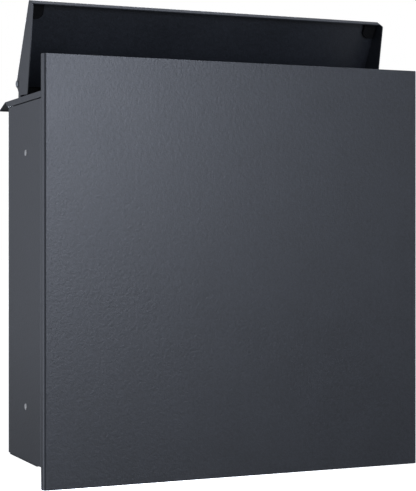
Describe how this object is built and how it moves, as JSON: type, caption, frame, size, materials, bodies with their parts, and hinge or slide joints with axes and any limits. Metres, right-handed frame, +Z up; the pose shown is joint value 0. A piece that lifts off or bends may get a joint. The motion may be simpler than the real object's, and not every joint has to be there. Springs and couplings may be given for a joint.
{
  "type": "parcel drop box",
  "caption": "Fence-mounted parcel drop box of folded steel: flat fascia, drop lid standing open on top, rear eave, and a locking rear door for emptying.",
  "frame": {"origin": "middle of the floor pan's underside", "axes": "-Y is the street side with the fascia, +Y the garden side with the rear door, +Z up, +X to the right of someone facing the fascia"},
  "size_m": [0.4984, 0.1785, 0.5724],
  "materials": {
    "powder_coat": "fine-textured satin anthracite powder coat",
    "zinc_plate": "bright zinc-plated steel",
    "nickel_plate": "satin nickel plate",
    "black_rubber": "matte black rubber",
    "grey_plastic": "light grey moulded plastic",
    "white_nylon": "natural nylon"
  },
  "bodies": {
    "housing": {"front_panel": "powder_coat", "side_wall_left": "powder_coat", "side_wall_right": "powder_coat", "floor_pan": "powder_coat", "front_wall": "powder_coat", "rear_sill": "powder_coat", "rear_header": "powder_coat", "top_frame": "powder_coat", "fascia_stud_1": "zinc_plate", "fascia_nut_1": "zinc_plate", "fascia_stud_2": "zinc_plate", "fascia_nut_2": "zinc_plate", "fascia_stud_3": "zinc_plate", "fascia_nut_3": "zinc_plate", "fascia_stud_4": "zinc_plate", "fascia_nut_4": "zinc_plate", "hole_plug_left_upper": "grey_plastic", "hole_plug_left_lower": "grey_plastic", "pivot_bracket_left": "powder_coat", "pivot_rivet_left": "zinc_plate", "pivot_washer_left": "white_nylon", "lid_rest_left": "zinc_plate", "lid_stop_left": "black_rubber", "rear_seal": "black_rubber", "hole_plug_right_upper": "grey_plastic", "hole_plug_right_lower": "grey_plastic", "pivot_bracket_right": "powder_coat", "pivot_rivet_right": "zinc_plate", "pivot_washer_right": "white_nylon", "lid_rest_right": "zinc_plate", "lid_stop_right": "black_rubber", "frame_knuckle_upper": "powder_coat", "hinge_pin_upper": "zinc_plate", "frame_knuckle_lower": "powder_coat", "hinge_pin_lower": "zinc_plate"},
    "lid": {"lid": "powder_coat", "lid_bumper_left": "black_rubber", "lid_bumper_right": "black_rubber"},
    "rear_door": {"rear_door": "powder_coat", "door_stiffener": "zinc_plate", "door_knuckle_upper": "powder_coat", "door_knuckle_lower": "powder_coat", "lock_body": "nickel_plate", "lock_nut": "nickel_plate"},
    "lock_core": {"lock_plug": "nickel_plate", "lock_cam": "zinc_plate", "cam_screw": "zinc_plate"}
  },
  "joints": [
    {"name": "lid_hinge", "type": "hinge", "parent": "housing", "child": "lid", "pos_m": [0, 0.0547, 0.4521], "axis": [1, 0, 0], "range_deg": [0, 61.9]},
    {"name": "door_hinge", "type": "hinge", "parent": "housing", "child": "rear_door", "pos_m": [0.243, 0.0698, 0.2], "axis": [0, 0, -1], "range_deg": [0, 110]},
    {"name": "lock_turn", "type": "hinge", "parent": "rear_door", "child": "lock_core", "pos_m": [-0.224, 0.0739, 0.21], "axis": [0, 1, 0], "range_deg": [0, 90]}
  ]
}
